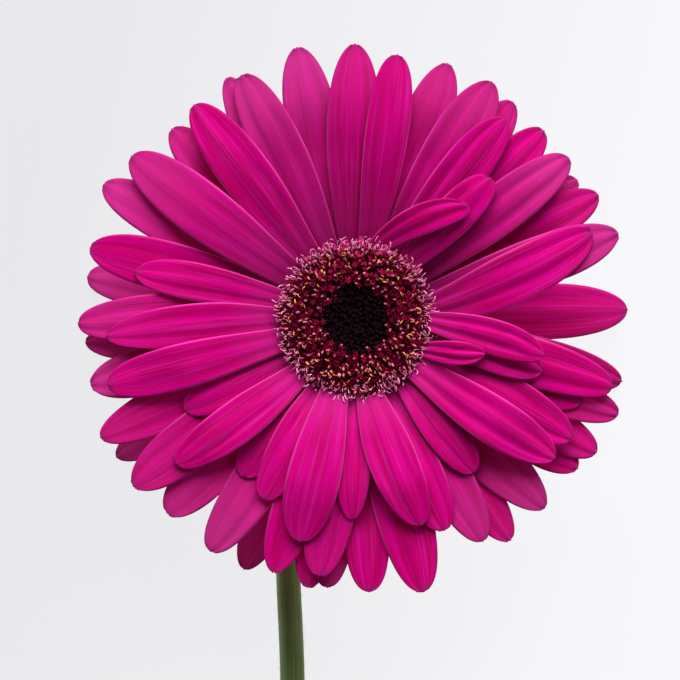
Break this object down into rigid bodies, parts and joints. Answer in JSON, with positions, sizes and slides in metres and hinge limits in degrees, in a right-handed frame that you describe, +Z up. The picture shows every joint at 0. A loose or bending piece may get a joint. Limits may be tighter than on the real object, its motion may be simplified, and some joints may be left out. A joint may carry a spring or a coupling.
{
  "type": "cut gerbera",
  "caption": "Cut daisy-type flower lying on its back: layered narrow magenta rays round a dark floret disc, green bract cup, bent neck and a long bare stem.",
  "frame": {"origin": "bottom centre of the whole flower's box, on the surface it lies on", "axes": "+Z up, the way the head faces; +Y from the stem's cut end to the head"},
  "size_m": [0.1106, 0.5114, 0.0393],
  "materials": {
    "ray": "satin",
    "disc_floret": "matte",
    "disc_bud": "matte",
    "trans_floret": "matte",
    "stem": "matte",
    "bract": "matte"
  },
  "bodies": {
    "root": {"disc_bud": "disc_bud", "disc_florets": "disc_floret", "inner_bracts": "bract", "outer_bracts": "bract", "ray_back_01": "ray", "ray_back_02": "ray", "ray_back_03": "ray", "ray_back_04": "ray", "ray_back_05": "ray", "ray_back_06": "ray", "ray_back_07": "ray", "ray_back_08": "ray", "ray_back_09": "ray", "ray_back_10": "ray", "ray_inner_01": "ray", "ray_inner_02": "ray", "ray_inner_03": "ray", "ray_inner_04": "ray", "ray_inner_05": "ray", "ray_inner_06": "ray", "ray_inner_07": "ray", "ray_inner_08": "ray", "ray_inner_09": "ray", "ray_inner_10": "ray", "ray_inner_11": "ray", "ray_inner_12": "ray", "ray_inner_13": "ray", "ray_inner_14": "ray", "ray_middle_01": "ray", "ray_middle_02": "ray", "ray_middle_03": "ray", "ray_middle_04": "ray", "ray_middle_05": "ray", "ray_middle_06": "ray", "ray_middle_07": "ray", "ray_outer_01": "ray", "ray_outer_02": "ray", "ray_outer_03": "ray", "ray_outer_04": "ray", "ray_outer_05": "ray", "ray_outer_06": "ray", "ray_outer_07": "ray", "ray_outer_08": "ray", "ray_outer_09": "ray", "ray_outer_10": "ray", "ray_outer_11": "ray", "ray_outer_12": "ray", "ray_outer_13": "ray", "ray_outer_14": "ray", "ray_resting_01": "ray", "ray_resting_02": "ray", "ray_resting_03": "ray", "ray_resting_04": "ray", "ray_resting_05": "ray", "ray_top_01": "ray", "ray_top_02": "ray", "ray_top_03": "ray", "receptacle": "bract", "stem": "stem", "trans_florets": "trans_floret"}
  },
  "joints": []
}
